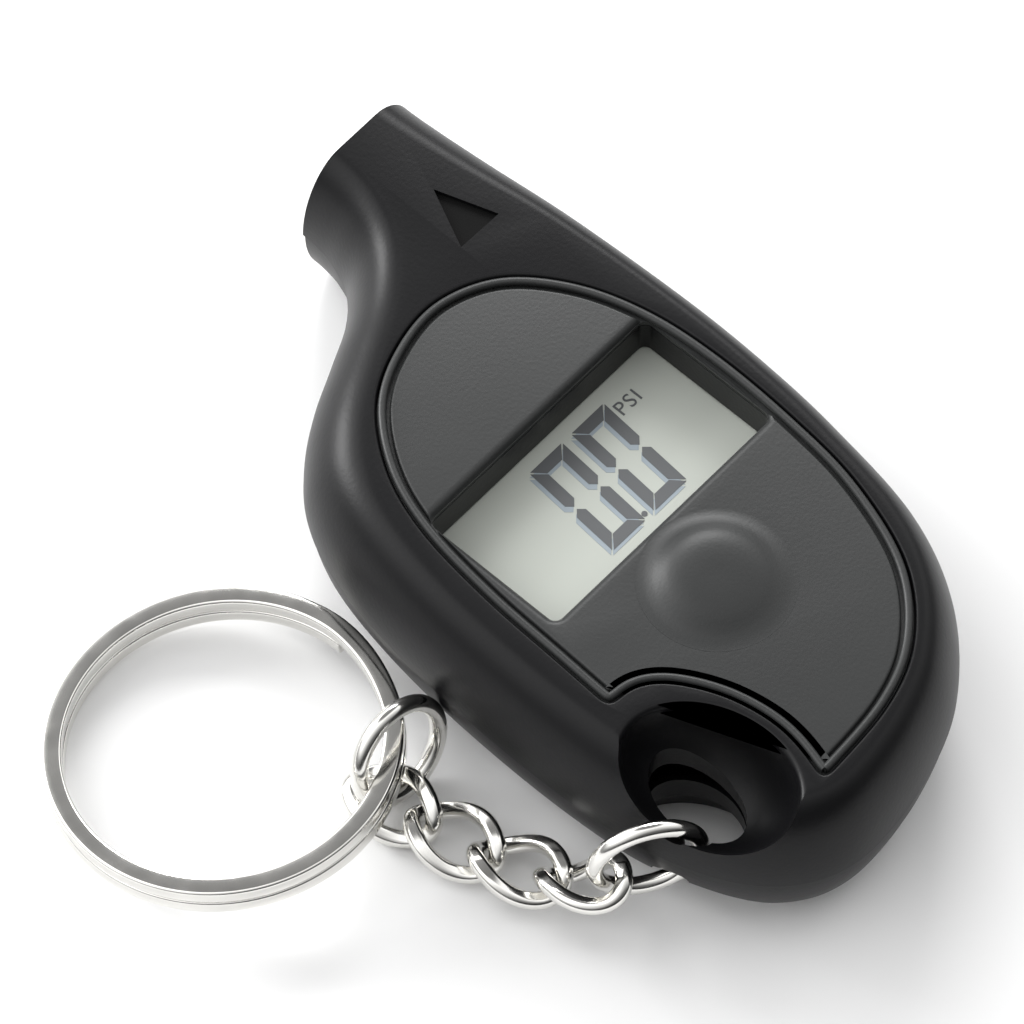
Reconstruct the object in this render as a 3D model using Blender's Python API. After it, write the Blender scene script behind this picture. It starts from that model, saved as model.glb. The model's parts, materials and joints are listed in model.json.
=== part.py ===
"""Digital tyre pressure gauge on a key chain.

The gauge lies on its back. The origin is the centre of the flat rest face, +X runs along the
display's text, +Y points out of the valve nozzle and +Z out of the front face. Dimensions are in
millimetres and are turned into metres when a mesh is made.
"""

import math

import bmesh
import bpy
from mathutils import Matrix, Vector

MM = 0.001
GAP = 0.3  # clearance between pieces that touch

# ---- driving dimensions ------------------------------------------------------------------
FACE_Z = 17.0
SEAM_Z = 8.5
WALL = 1.8
BACK_INSET = 0.25  # the back shell sits this far inside the front shell at the seam
NOZZLE_END_Y = 37.1
NOZZLE_X = 12.1
END_WALL = 2.0

# Plan outline at the seam, clockwise from the nozzle: x, y, front shoulder, back shoulder.
OUTLINE = [
    (18.8, 42.0, 4.6, 4.6),
    (18.9, 36.0, 4.6, 4.6),
    (19.3, 29.0, 4.2, 4.6),
    (20.0, 19.0, 3.4, 4.6),
    (20.4, 6.5, 3.1, 4.6),
    (20.2, -2.5, 3.1, 4.6),
    (19.5, -10.5, 3.2, 4.6),
    (17.7, -20.5, 3.3, 4.7),
    (14.0, -27.8, 3.4, 4.8),
    (8.2, -33.0, 3.5, 5.0),
    (1.7, -35.7, 3.6, 5.2),
    (-5.2, -36.8, 3.7, 5.4),
    (-9.8, -36.2, 3.9, 5.5),
    (-13.4, -34.0, 4.1, 5.5),
    (-16.3, -30.3, 4.2, 5.5),
    (-18.3, -25.3, 4.3, 5.5),
    (-19.4, -19.5, 4.4, 5.5),
    (-19.8, -12.5, 4.4, 5.5),
    (-19.7, -5.0, 4.4, 5.5),
    (-19.2, 2.4, 4.5, 5.5),
    (-18.2, 9.1, 4.8, 5.5),
    (-16.8, 14.2, 5.2, 5.5),
    (-14.5, 18.4, 5.6, 5.5),
    (-11.4, 21.5, 5.6, 5.4),
    (-7.9, 23.8, 5.4, 5.2),
    (-3.9, 25.7, 5.0, 5.0),
    (0.2, 27.7, 4.7, 4.8),
    (3.2, 30.2, 4.5, 4.6),
    (4.6, 33.0, 4.5, 4.6),
    (5.2, 36.0, 4.5, 4.6),
    (5.4, 42.0, 4.6, 4.6),
    (7.4, 46.8, 4.6, 4.6),
    (12.1, 48.7, 4.6, 4.6),
    (16.8, 46.8, 4.6, 4.6),
]
OUTLINE_SAMPLES = 84
SHOULDER_STEPS = 6

# Face panel, the lighter plate set in the front shell.
PANEL_OUTER = [
    (-14.2, -15.0),
    (-13.9, -9.0),
    (-13.5, -1.0),
    (-12.4, 7.0),
    (-10.2, 13.0),
    (-6.2, 18.0),
    (-1.2, 20.5),
    (4.3, 21.1),
    (9.6, 18.8),
    (13.4, 13.8),
    (15.5, 7.6),
    (16.2, 0.5),
    (15.9, -8.0),
    (14.8, -16.0),
    (11.8, -24.0),
    (6.8, -29.2),
    (0.8, -31.6),
    (-7.5, -32.3),
]
PANEL_INNER = [
    (-7.5, -32.3),
    (-6.5, -28.4),
    (-6.4, -25.0),
    (-7.3, -21.0),
    (-9.3, -17.2),
    (-11.6, -15.3),
    (-14.2, -15.0),
]
PANEL_THICK = 0.8
PANEL_FLOOR_Z = FACE_Z - PANEL_THICK - GAP

# Display window and the parts behind it.
WINDOW = (-11.4, 15.0, -6.6, 7.5)  # x low, x high, y low, y high
WINDOW_FRAME = 1.2
WINDOW_FRAME_Z = 12.4
LCD_MARGIN = 1.2
LCD_THICK = 1.8
BOARD_TOP_Z = 7.9
BOARD_THICK = 1.0
BOARD = [
    (-14.0, 5.0),
    (-5.5, 17.5),
    (1.0, 18.6),
    (12.0, 18.6),
    (16.0, 8.0),
    (15.2, -10.0),
    (11.0, -21.5),
    (-3.0, -21.5),
    (-3.0, -12.0),
    (-14.0, -12.0),
]

# Button and its switch.
BUTTON = (0.3, -13.7)
BUTTON_R = 6.25
BUTTON_TOP_Z = 18.7
FLANGE_R = 6.95
FLANGE_TOP_Z = FACE_Z - WALL - GAP

# Key-ring dish, a scoop in each shell with an oval hole between them.
DISH = (-13.5, -25.2)
DISH_R = (6.3, 8.4)
DISH_TURN = math.radians(12)
FRONT_DISH = (16.5, 6.9)  # centre height, vertical radius
BACK_DISH = (0.0, 7.0)
DISH_WALL = 1.6
KEY_HOLE = (-13.3, -23.9, 3.0, 4.7)  # x, y, x radius, y radius

# Direction mark on the shell.
ARROW = [(12.2, 28.6), (14.1, 23.0), (9.6, 23.1)]
ARROW_DEPTH = 0.5

SCREWS = [(4.6, 24.2), (-13.0, 12.6), (8.4, -26.6)]
BOSS_R = 2.9
SCREW_HEAD_R = 2.0
SCREW_SHANK_R = 1.0
HEAD_SEAT_Z = 4.5

CELL = (0.0, 3.0)
CELL_R = 10.0
CELL_THICK = 3.2

# Chain: one jump ring through the key hole, four curb links, one jump ring on the split ring.
WIRE_R = 0.75
JUMP_R = 4.45
LINK_HALF_LENGTH = 4.0
LINK_HALF_WIDTH = 2.65
LINK_TWIST = math.radians(40)
BODY_RING = ((-19.2, -23.8, 8.75), (0.54, 0.84, 0.0))  # centre, axis
# centre, yaw, pitch and roll of each curb link
LINKS = [
    ((-22.68, -20.1, 4.94), 106.3, -29.8, 17.0),
    ((-24.6, -14.71, 3.1), 104.8, -8.0, 4.5),
    ((-25.93, -8.76, 2.44), 99.1, -2.5, -8.1),
    ((-26.77, -2.68, 2.05), 97.7, -5.3, -20.0),
]
JUMP_RING = ((-24.15, -0.87, 5.11), (-0.026, -0.958, 0.274))
SPLIT_CENTRE = (-32.9, 10.6, 3.42)
SPLIT_AXIS = (-0.024, 0.114, 0.993)
SPLIT_R = (13.3, 15.0)
SPLIT_WIRE_H = 1.4
SPLIT_COIL_GAP = 0.1
SPLIT_START = math.radians(-38)

COLOURS = {
    "shell": ((0.018, 0.018, 0.02), 0.42, 0.0),
    "panel": ((0.06, 0.062, 0.064), 0.55, 0.0),
    "lcd": ((0.52, 0.56, 0.5), 0.25, 0.0),
    "rubber": ((0.02, 0.02, 0.02), 0.8, 0.0),
    "board": ((0.02, 0.16, 0.06), 0.5, 0.0),
    "epoxy": ((0.01, 0.01, 0.01), 0.35, 0.0),
    "switch": ((0.03, 0.03, 0.03), 0.5, 0.0),
    "steel": ((0.6, 0.6, 0.6), 0.25, 1.0),
    "chrome": ((0.8, 0.79, 0.77), 0.12, 1.0),
    "brass": ((0.72, 0.5, 0.2), 0.3, 1.0),
}


# ---- scene helpers -----------------------------------------------------------------------
for old in list(bpy.data.objects):
    bpy.data.objects.remove(old, do_unlink=True)

parts = bpy.data.collections.new("tire_pressure_gauge")
cutters = bpy.data.collections.new("cutters")
for group in (parts, cutters):
    bpy.context.scene.collection.children.link(group)

materials = {}
for slot_name, (colour, roughness, metallic) in COLOURS.items():
    material = bpy.data.materials.new(slot_name)
    material.use_nodes = True
    shader = material.node_tree.nodes["Principled BSDF"]
    shader.inputs["Base Color"].default_value = (*colour, 1.0)
    shader.inputs["Roughness"].default_value = roughness
    shader.inputs["Metallic"].default_value = metallic
    materials[slot_name] = material


def place(name, mesh, slot=None):
    """Link a mesh as a part with its material, or as a cutter when it has no slot."""
    obj = bpy.data.objects.new(name, mesh)
    if slot:
        parts.objects.link(obj)
        mesh.materials.append(materials[slot])
        mesh.shade_smooth()
        mesh.set_sharp_from_angle(angle=math.radians(35))
    else:
        cutters.objects.link(obj)
        obj.hide_render = True
        obj.display_type = "WIRE"
    return obj


def finish(bm, name, slot=None):
    """Close a bmesh, turn its faces outward, scale it to metres and place it."""
    bmesh.ops.recalc_face_normals(bm, faces=bm.faces)
    bmesh.ops.scale(bm, vec=(MM, MM, MM), verts=bm.verts)
    mesh = bpy.data.meshes.new(name)
    bm.to_mesh(mesh)
    bm.free()
    return place(name, mesh, slot)


def boolean(obj, other, operation="DIFFERENCE"):
    modifier = obj.modifiers.new(other.name, "BOOLEAN")
    modifier.operation = operation
    modifier.object = other
    modifier.solver = "EXACT"


def cut(obj, *others):
    for other in others:
        boolean(obj, other)


def box(name, low, high, slot=None):
    bm = bmesh.new()
    size = [h - l for l, h in zip(low, high)]
    middle = [(h + l) / 2 for l, h in zip(low, high)]
    bmesh.ops.create_cube(bm, size=1.0, matrix=Matrix.Translation(middle) @ Matrix.Diagonal((*size, 1.0)))
    return finish(bm, name, slot)


def cylinder(name, centre, radius, low, high, axis="Z", segments=40, slot=None):
    """A round bar from low to high along Z or Y, centred on the other two coordinates."""
    bm = bmesh.new()
    middle = (low + high) / 2
    if axis == "Z":
        matrix = Matrix.Translation((centre[0], centre[1], middle))
    else:
        matrix = Matrix.Translation((centre[0], middle, centre[1])) @ Matrix.Rotation(math.pi / 2, 4, "X")
    bmesh.ops.create_cone(
        bm, cap_ends=True, segments=segments, radius1=radius, radius2=radius, depth=high - low, matrix=matrix
    )
    return finish(bm, name, slot)


def turned(name, profile, place_at, slot=None, segments=40):
    """A profile of (radius, height) points, outer side top to bottom, turned about its own Z axis."""
    bm = bmesh.new()
    corners = [bm.verts.new((r, 0.0, h)) for r, h in profile]
    edges = [bm.edges.new(pair) for pair in zip(corners, corners[1:])]
    if profile[0][0] > 0.0:
        edges.append(bm.edges.new((corners[-1], corners[0])))
    bmesh.ops.spin(
        bm, geom=corners + edges, cent=(0, 0, 0), axis=(0, 0, 1), angle=2 * math.pi, steps=segments
    )
    bmesh.ops.remove_doubles(bm, verts=bm.verts, dist=0.001)
    bmesh.ops.transform(bm, matrix=place_at, verts=bm.verts)
    return finish(bm, name, slot)


def prism(name, outline, low, high, slot=None):
    """A flat outline raised from low to high."""
    bm = bmesh.new()
    face = bm.faces.new([bm.verts.new((x, y, low)) for x, y in outline])
    raised = bmesh.ops.extrude_face_region(bm, geom=[face])["geom"]
    bmesh.ops.translate(
        bm, vec=(0, 0, high - low), verts=[v for v in raised if isinstance(v, bmesh.types.BMVert)]
    )
    return finish(bm, name, slot)


def ellipsoid(name, centre, radii, turn):
    bm = bmesh.new()
    matrix = Matrix.Translation(centre) @ Matrix.Rotation(turn, 4, "Z") @ Matrix.Diagonal((*radii, 1.0))
    bmesh.ops.create_uvsphere(bm, u_segments=40, v_segments=24, radius=1.0, matrix=matrix)
    return finish(bm, name)


def loft(name, rings, slot=None, slice_y=None):
    """Skin a stack of closed rings and cap both ends; optionally end it at a plane across Y."""
    bm = bmesh.new()
    stack = [[bm.verts.new(point) for point in ring] for ring in rings]
    count = len(stack[0])
    for lower, upper in zip(stack, stack[1:]):
        for i in range(count):
            j = (i + 1) % count
            bm.faces.new((lower[i], lower[j], upper[j], upper[i]))
    bm.faces.new(stack[0])
    bm.faces.new(stack[-1])
    if slice_y is not None:
        geometry = bm.verts[:] + bm.edges[:] + bm.faces[:]
        bmesh.ops.bisect_plane(
            bm, geom=geometry, dist=1e-5, plane_co=(0, slice_y, 0), plane_no=(0, 1, 0), clear_outer=True
        )
        open_edges = [e for e in bm.edges if e.is_boundary]
        bmesh.ops.holes_fill(bm, edges=open_edges, sides=0)
    return finish(bm, name, slot)


# ---- curves through points ---------------------------------------------------------------
def spline_point(p0, p1, p2, p3, t):
    """Catmull-Rom point between p1 and p2."""
    return [
        0.5 * (2 * b + (c - a) * t + (2 * a - 5 * b + 4 * c - d) * t * t + (3 * b - a - 3 * c + d) * t**3)
        for a, b, c, d in zip(p0, p1, p2, p3)
    ]


def smooth_loop(rows, samples):
    """A closed smooth curve through rows, as evenly spaced samples of x and y and what rides on them."""
    dense = []
    for i in range(len(rows)):
        around = [rows[(i + k) % len(rows)] for k in (-1, 0, 1, 2)]
        dense += [spline_point(*around, t / 16) for t in range(16)]
    lengths = [0.0]
    for a, b in zip(dense, dense[1:] + dense[:1]):
        lengths.append(lengths[-1] + math.hypot(b[0] - a[0], b[1] - a[1]))
    spaced = []
    k = 0
    for i in range(samples):
        target = lengths[-1] * i / samples
        while lengths[k + 1] < target:
            k += 1
        share = (target - lengths[k]) / (lengths[k + 1] - lengths[k])
        spaced.append([a + (b - a) * share for a, b in zip(dense[k], dense[(k + 1) % len(dense)])])
    return spaced


def smooth_path(rows, steps):
    """An open smooth curve through rows, without its last point."""
    path = []
    last = len(rows) - 1
    for i in range(last):
        around = [rows[max(0, min(last, i + k))] for k in (-1, 0, 1, 2)]
        path += [spline_point(*around, t / steps)[:2] for t in range(steps)]
    return path


def inward_normals(points):
    """The unit normal at each point of a clockwise loop, pointing inside it."""
    count = len(points)
    normals = []
    for i in range(count):
        ahead, behind = points[(i + 1) % count], points[i - 1]
        tangent = Vector((ahead[0] - behind[0], ahead[1] - behind[1])).normalized()
        normals.append(Vector((tangent.y, -tangent.x)))
    return normals


def offset_loop(points, distance):
    """A loop moved outward by distance."""
    normals = inward_normals(points)
    return [(p[0] - n.x * distance, p[1] - n.y * distance) for p, n in zip(points, normals)]


# ---- shells ------------------------------------------------------------------------------
seam_loop = smooth_loop(OUTLINE, OUTLINE_SAMPLES)
seam_normals = inward_normals(seam_loop)


def shoulder_rings(start_z, end_z, width_column, inset, width_share=1.0, lead=None):
    """Rings up a quarter-round shoulder from the seam outline to the flat face at end_z."""
    rings = []
    heights = [math.pi / 2 * k / SHOULDER_STEPS for k in range(SHOULDER_STEPS + 1)]
    for angle in heights:
        ring = []
        for row, normal in zip(seam_loop, seam_normals):
            depth = inset + row[width_column] * width_share * (1 - math.cos(angle))
            height = start_z + (end_z - start_z) * math.sin(angle)
            ring.append((row[0] + normal.x * depth, row[1] + normal.y * depth, height))
        rings.append(ring)
    if lead is not None:
        rings.insert(0, [(x, y, lead) for x, y, _ in rings[0]])
    return rings


CORE_WIDTH_SHARE = 0.6
front_shell = loft(
    "front_shell", shoulder_rings(SEAM_Z + GAP / 2, FACE_Z, 2, 0.0), "shell", NOZZLE_END_Y
)
back_shell = loft(
    "back_shell", shoulder_rings(SEAM_Z - GAP / 2, 0.0, 3, BACK_INSET), "shell", NOZZLE_END_Y
)
CORE_END_Y = NOZZLE_END_Y - END_WALL
front_core = loft(
    "front_core",
    shoulder_rings(SEAM_Z, FACE_Z - WALL, 2, WALL, CORE_WIDTH_SHARE, lead=SEAM_Z - 1),
    slice_y=CORE_END_Y,
)
back_core = loft(
    "back_core",
    shoulder_rings(SEAM_Z, WALL, 3, WALL + BACK_INSET, CORE_WIDTH_SHARE, lead=SEAM_Z + 1),
    slice_y=CORE_END_Y,
)

# Material left standing inside the cores: dish walls, window frame and screw bosses.
for core, (height, rise), side in ((front_core, FRONT_DISH, "front"), (back_core, BACK_DISH, "back")):
    grown = (DISH_R[0] + DISH_WALL, DISH_R[1] + DISH_WALL, rise + DISH_WALL)
    cut(core, ellipsoid(side + "_dish_wall", (*DISH, height), grown, DISH_TURN))
cut(
    front_core,
    box(
        "window_frame",
        (WINDOW[0] - WINDOW_FRAME, WINDOW[2] - WINDOW_FRAME, WINDOW_FRAME_Z),
        (WINDOW[1] + WINDOW_FRAME, WINDOW[3] + WINDOW_FRAME, FACE_Z),
    ),
)
for number, spot in enumerate(SCREWS, 1):
    boss = cylinder(f"boss_{number}", spot, BOSS_R, -1, FACE_Z + 1, segments=24)
    cut(front_core, boss)
    cut(back_core, boss)
cut(front_shell, front_core)
cut(back_shell, back_core)

# The dish, the key hole and the groove that the first ring swings in.
key_hole = cylinder("key_hole", (0, 0), 1.0, -1.0, FACE_Z + 2)
key_hole.data.transform(
    Matrix.Translation((KEY_HOLE[0] * MM, KEY_HOLE[1] * MM, 0)) @ Matrix.Diagonal((*KEY_HOLE[2:], 1, 1))
)
cut(front_shell, ellipsoid("front_dish", (*DISH, FRONT_DISH[0]), (*DISH_R, FRONT_DISH[1]), DISH_TURN))
cut(back_shell, ellipsoid("back_dish", (*DISH, BACK_DISH[0]), (*DISH_R, BACK_DISH[1]), DISH_TURN))
cut(front_shell, key_hole)
cut(back_shell, key_hole)


def tube_loop(points, radius, sides):
    """A closed round wire along a loop of points, as a bmesh."""
    bm = bmesh.new()
    count = len(points)
    rings = []
    side = None
    for i in range(count):
        tangent = (points[(i + 1) % count] - points[i - 1]).normalized()
        if side is None:
            side = tangent.orthogonal().normalized()
        side = (side - tangent * side.dot(tangent)).normalized()
        up = tangent.cross(side)
        rings.append((points[i], side, up))
    first_side = rings[0][1]
    tangent = (points[1] - points[-1]).normalized()
    carried = (side - tangent * side.dot(tangent)).normalized()
    drift = math.atan2(carried.cross(first_side).dot(tangent), carried.dot(first_side))
    stack = []
    for i, (centre, across, up) in enumerate(rings):
        turn = drift * i / count
        stack.append(
            [
                bm.verts.new(
                    centre
                    + radius * math.cos(2 * math.pi * k / sides + turn) * across
                    + radius * math.sin(2 * math.pi * k / sides + turn) * up
                )
                for k in range(sides)
            ]
        )
    for i in range(count):
        here, ahead = stack[i], stack[(i + 1) % count]
        for k in range(sides):
            j = (k + 1) % sides
            bm.faces.new((here[k], here[j], ahead[j], ahead[k]))
    return bm


def ring_points(centre, axis, radius, count):
    axis = Vector(axis).normalized()
    across = Vector((0, 0, 1)).cross(axis).normalized()
    up = axis.cross(across)
    angles = [2 * math.pi * i / count for i in range(count)]
    return [Vector(centre) + radius * (math.cos(a) * across + math.sin(a) * up) for a in angles]


RING_STEPS = 36
WIRE_SIDES = 10
GROOVE_R = WIRE_R + 0.55
groove = finish(tube_loop(ring_points(*BODY_RING, JUMP_R, RING_STEPS), GROOVE_R, WIRE_SIDES), "ring_groove")
cut(front_shell, groove)
cut(back_shell, groove)

# ---- face panel, window, button hole, arrow, nozzle and screw holes -----------------------
panel_loop = smooth_path(PANEL_OUTER, 4) + smooth_path(PANEL_INNER, 4)
face_panel = prism("face_panel", panel_loop, FACE_Z - PANEL_THICK, FACE_Z, "panel")
panel_recess = prism("panel_recess", offset_loop(panel_loop, GAP), PANEL_FLOOR_Z, FACE_Z + 1)
window_cut = box(
    "window_cut", (WINDOW[0], WINDOW[2], WINDOW_FRAME_Z - 1), (WINDOW[1], WINDOW[3], FACE_Z + 2)
)
button_hole = cylinder("button_hole", BUTTON, BUTTON_R + GAP, SEAM_Z + 2, FACE_Z + 2)
cut(face_panel, window_cut, button_hole)
arrow_cut = prism("arrow_cut", ARROW, FACE_Z - ARROW_DEPTH, FACE_Z + 1)
CHUCK_R = 4.6
nozzle_bore = cylinder(
    "nozzle_bore", (NOZZLE_X, SEAM_Z), CHUCK_R + GAP, CORE_END_Y - 4, NOZZLE_END_Y + 1, axis="Y"
)
flange_room = cylinder("flange_room", BUTTON, FLANGE_R + GAP, SEAM_Z + 2, FLANGE_TOP_Z + GAP)
cut(front_shell, flange_room, panel_recess, window_cut, button_hole, arrow_cut, nozzle_bore)
cut(back_shell, nozzle_bore)

for number, spot in enumerate(SCREWS, 1):
    pilot = cylinder(f"pilot_{number}", spot, SCREW_SHANK_R + GAP, -1, FACE_Z - 4.4, segments=24)
    counterbore = cylinder(f"counterbore_{number}", spot, SCREW_HEAD_R + GAP, -1, HEAD_SEAT_Z, segments=24)
    cut(front_shell, pilot)
    cut(back_shell, pilot, counterbore)

# ---- parts inside ------------------------------------------------------------------------
lcd_top = WINDOW_FRAME_Z - GAP
box(
    "lcd_cell",
    (WINDOW[0] - LCD_MARGIN, WINDOW[2] - LCD_MARGIN, lcd_top - LCD_THICK),
    (WINDOW[1] + LCD_MARGIN, WINDOW[3] + LCD_MARGIN, lcd_top),
    "lcd",
)
STRIP_WIDTH = 1.6
strip_low, strip_high = BOARD_TOP_Z + GAP, lcd_top - LCD_THICK - GAP
for name, y in (("zebra_strip", WINDOW[3] - STRIP_WIDTH), ("lcd_pad", WINDOW[2])):
    box(name, (WINDOW[0], y, strip_low), (WINDOW[1], y + STRIP_WIDTH, strip_high), "rubber")

prism("circuit_board", BOARD, BOARD_TOP_Z - BOARD_THICK, BOARD_TOP_Z, "board")

BLOB_R = 3.6
BLOB_H = 1.3
dome = [(BLOB_R * math.sin(a), BLOB_H * math.cos(a)) for a in [math.pi / 2 * k / 6 for k in range(7)]]
turned(
    "controller_blob", dome + [(0.0, 0.0)], Matrix.Translation((1.8, 0.3, BOARD_TOP_Z + GAP)), "epoxy", 24
)

SWITCH_TOP_Z = 11.3
PLUNGER_R = 1.7
PLUNGER_TOP_Z = 12.0
SWITCH_HALF = 3.0
switch_body = box(
    "switch_body",
    (BUTTON[0] - SWITCH_HALF, BUTTON[1] - SWITCH_HALF, BOARD_TOP_Z + GAP),
    (BUTTON[0] + SWITCH_HALF, BUTTON[1] + SWITCH_HALF, SWITCH_TOP_Z),
    "switch",
)
cut(switch_body, cylinder("plunger_well", BUTTON, PLUNGER_R + GAP, SWITCH_TOP_Z - 1.6, SWITCH_TOP_Z + 1))
cylinder("switch_plunger", BUTTON, PLUNGER_R, PLUNGER_TOP_Z - 1.4, PLUNGER_TOP_Z, segments=24, slot="switch")

# Button: crowned cap, skirt, retaining flange under the shell, stem over the switch.
CROWN = BUTTON_TOP_Z - FACE_Z
crown = [
    (BUTTON_R * k / 8, FACE_Z + CROWN * (1 - (k / 8) ** 2.4)) for k in range(9)
]
turned(
    "button",
    crown
    + [
        (BUTTON_R, FLANGE_TOP_Z),
        (FLANGE_R, FLANGE_TOP_Z),
        (FLANGE_R, FLANGE_TOP_Z - 0.8),
        (PLUNGER_R, FLANGE_TOP_Z - 0.8),
        (PLUNGER_R, PLUNGER_TOP_Z + GAP),
        (0.0, PLUNGER_TOP_Z + GAP),
    ],
    Matrix.Translation((*BUTTON, 0.0)),
    "panel",
)

# Nozzle train: sensor with a side port, rubber sleeve, valve chuck, rubber seal and pin.
PORT_R = 1.5
SENSOR = (19.6, 24.0)
SENSOR_HALF = 2.8
pressure_sensor = box(
    "pressure_sensor",
    (NOZZLE_X - SENSOR_HALF, SENSOR[0], SEAM_Z - SENSOR_HALF),
    (NOZZLE_X + SENSOR_HALF, SENSOR[1], SEAM_Z + SENSOR_HALF),
    "switch",
)
boolean(
    pressure_sensor,
    cylinder("sensor_port", (NOZZLE_X, SEAM_Z), PORT_R, SENSOR[1] - 1, 26.4, axis="Y", segments=24),
    "UNION",
)


def along_y(start):
    """Place a turned piece so that its height runs along +Y from start, on the nozzle's axis."""
    return Matrix.Translation((NOZZLE_X, start, SEAM_Z)) @ Matrix.Rotation(-math.pi / 2, 4, "X")


SLEEVE_R = 3.0
turned(
    "sensor_sleeve",
    [(SLEEVE_R, 4.9), (SLEEVE_R, 0.0), (PORT_R + GAP, 0.0), (PORT_R + GAP, 4.9)],
    along_y(SENSOR[1] + GAP),
    "rubber",
    28,
)
CHUCK_BACK = 29.8
CHUCK_LENGTH = NOZZLE_END_Y - GAP - CHUCK_BACK
VALVE_BORE_R = 4.15
VALVE_FLOOR = 1.4
AIR_R = 0.6
turned(
    "valve_chuck",
    [
        (VALVE_BORE_R, CHUCK_LENGTH - 0.4),
        (VALVE_BORE_R + 0.3, CHUCK_LENGTH),
        (CHUCK_R, CHUCK_LENGTH),
        (CHUCK_R, 0.0),
        (PORT_R, 0.0),
        (PORT_R, -2.6),
        (AIR_R, -2.6),
        (AIR_R, VALVE_FLOOR),
        (VALVE_BORE_R, VALVE_FLOOR),
    ],
    along_y(CHUCK_BACK),
    "brass",
)
SEAL_START = CHUCK_BACK + VALVE_FLOOR + GAP
SEAL_THICK = 1.8
SEAL_HOLE_R = 2.0
turned(
    "valve_seal",
    [
        (VALVE_BORE_R - GAP, SEAL_THICK),
        (VALVE_BORE_R - GAP, 0.0),
        (SEAL_HOLE_R, 0.0),
        (SEAL_HOLE_R, SEAL_THICK),
    ],
    along_y(SEAL_START),
    "rubber",
)
PIN_LENGTH = 3.0
turned(
    "depressor_pin",
    [
        (0.0, PIN_LENGTH),
        (0.5, PIN_LENGTH),
        (0.7, PIN_LENGTH - 0.3),
        (0.7, 0.7),
        (SEAL_HOLE_R - GAP, 0.7),
        (SEAL_HOLE_R - GAP, 0.0),
        (0.0, 0.0),
    ],
    along_y(SEAL_START),
    "brass",
    24,
)

# Coin cell between its two contacts.
cell_low = WALL + GAP
cell_high = cell_low + CELL_THICK
turned(
    "coin_cell",
    [
        (0.0, cell_high),
        (CELL_R - 1.0, cell_high),
        (CELL_R - 0.9, cell_high - 0.3),
        (CELL_R - 0.2, cell_high - 0.3),
        (CELL_R, cell_high - 0.6),
        (CELL_R, cell_low + 0.3),
        (CELL_R - 0.3, cell_low),
        (0.0, cell_low),
    ],
    Matrix.Translation((*CELL, 0.0)),
    "steel",
    56,
)
board_low = BOARD_TOP_Z - BOARD_THICK - GAP
STRIP = 0.3  # contact strip thickness


def contact(name, centre_line, width, y):
    """A bent strip: a line of x and z points given a thickness, as wide as width along Y."""
    flat = [(x, z) for x, z in centre_line]
    upper = [(x, z + STRIP) for x, z in reversed(flat)]
    obj = prism(name, flat + upper, -width / 2, width / 2, "brass")
    obj.data.transform(Matrix.Translation((0, y * MM, 0)) @ Matrix.Rotation(math.pi / 2, 4, "X"))
    return obj


leaf_low = cell_high + GAP
contact(
    "negative_contact",
    [(-5.0, board_low - STRIP), (-1.0, board_low - STRIP), (2.5, leaf_low), (4.5, leaf_low), (5.5, leaf_low + 0.4)],
    3.0,
    CELL[1],
)
clip_x = CELL[0] - CELL_R - GAP - STRIP
clip = box(
    "positive_contact", (clip_x, CELL[1] - 2.5, cell_low), (clip_x + STRIP, CELL[1] + 2.5, board_low), "brass"
)
boolean(
    clip,
    box(
        "clip_foot",
        (clip_x - 2.5, CELL[1] - 2.5, board_low - STRIP),
        (clip_x + STRIP / 2, CELL[1] + 2.5, board_low),
    ),
    "UNION",
)

# ---- case screws -------------------------------------------------------------------------
HEAD_THICK = 1.3
SCREW_TIP_Z = 12.0
CROSS_LENGTH = 2.2
CROSS_WIDTH = 0.55
CROSS_DEPTH = 0.8
for number, (x, y) in enumerate(SCREWS, 1):
    seat = HEAD_SEAT_Z - GAP
    head = seat - HEAD_THICK
    screw = turned(
        f"case_screw_{number}",
        [
            (0.0, SCREW_TIP_Z),
            (0.35, SCREW_TIP_Z - 0.2),
            (SCREW_SHANK_R, SCREW_TIP_Z - 1.6),
            (SCREW_SHANK_R, seat),
            (SCREW_HEAD_R, seat),
            (SCREW_HEAD_R, head + 0.5),
            (SCREW_HEAD_R - 0.5, head),
            (0.0, head),
        ],
        Matrix.Translation((x, y, 0.0)),
        "steel",
        24,
    )
    for way, (half_x, half_y) in enumerate(
        ((CROSS_LENGTH / 2, CROSS_WIDTH / 2), (CROSS_WIDTH / 2, CROSS_LENGTH / 2))
    ):
        low = (x - half_x, y - half_y, head - 1)
        high = (x + half_x, y + half_y, head + CROSS_DEPTH)
        cut(screw, box(f"cross_{number}_{way}", low, high))


# ---- chain -------------------------------------------------------------------------------
def curb_link_points(centre, yaw, pitch, roll, count):
    """An oval link twisted about its length, so that neighbours cross while the chain lies flat."""
    yaw, pitch, roll = (math.radians(v) for v in (yaw, pitch, roll))
    along = Vector((math.cos(yaw) * math.cos(pitch), math.sin(yaw) * math.cos(pitch), math.sin(pitch)))
    across = Vector((-math.sin(yaw), math.cos(yaw), 0.0))
    up = along.cross(across)
    across, up = (
        across * math.cos(roll) + up * math.sin(roll),
        up * math.cos(roll) - across * math.sin(roll),
    )
    points = []
    for i in range(count):
        angle = 2 * math.pi * i / count
        twist = LINK_TWIST * math.cos(angle)
        side = math.cos(twist) * across + math.sin(twist) * up
        points.append(
            Vector(centre)
            + LINK_HALF_LENGTH * math.cos(angle) * along
            + LINK_HALF_WIDTH * math.sin(angle) * side
        )
    return points


def wire_part(name, points):
    return finish(tube_loop(points, WIRE_R, WIRE_SIDES), name, "chrome")


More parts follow.
